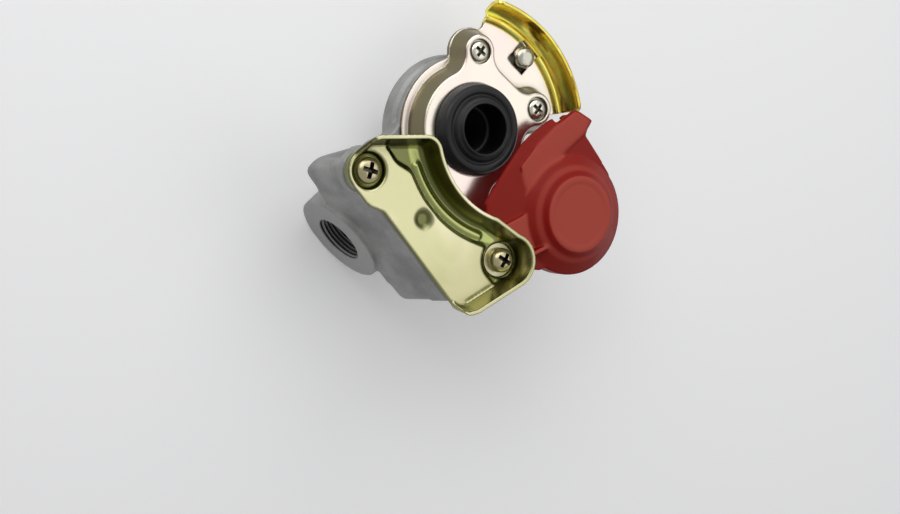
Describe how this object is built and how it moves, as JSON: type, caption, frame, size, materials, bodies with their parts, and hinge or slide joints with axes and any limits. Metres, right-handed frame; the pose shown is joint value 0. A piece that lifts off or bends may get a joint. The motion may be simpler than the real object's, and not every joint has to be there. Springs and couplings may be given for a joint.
{
  "type": "gladhand air brake coupler",
  "caption": "Palm coupling for a truck's supply air line: cast body with threaded hose port, rubber face seal, pressed face plate with guide, claw plate and swinging dust cap.",
  "frame": {"origin": "centre of the seal's front edge, on the seal's axis", "axes": "+Z out of the coupling face along the seal's axis, +X towards the hose port along its axis, +Y towards the side on which the cap hangs"},
  "size_m": [0.121, 0.1143, 0.0692],
  "materials": {
    "cast_body": "dull die casting",
    "face_plate": "pale zinc plating",
    "claw_plate": "yellow passivated zinc plating",
    "seal_ring": "matt moulded rubber",
    "coding_pin": "bright turned steel",
    "screws": "yellow zinc plating",
    "friction_ring": "natural nylon",
    "swinging_cap": "matt moulded plastic"
  },
  "bodies": {
    "base": {"cast_body": "cast_body", "face_plate": "face_plate", "seal_ring": "seal_ring", "coding_pin": "coding_pin", "plate_screw_one": "screws", "plate_screw_two": "screws", "claw_plate": "claw_plate", "claw_screw": "screws", "pivot_screw": "screws", "pivot_washer": "screws", "friction_ring": "friction_ring"},
    "cap": {"swinging_cap": "swinging_cap"}
  },
  "joints": [
    {"name": "cap_swing", "type": "hinge", "parent": "base", "child": "cap", "pos_m": [0.035, 0.037, 0], "axis": [0, 0, 1], "range_deg": [0, 65]}
  ]
}
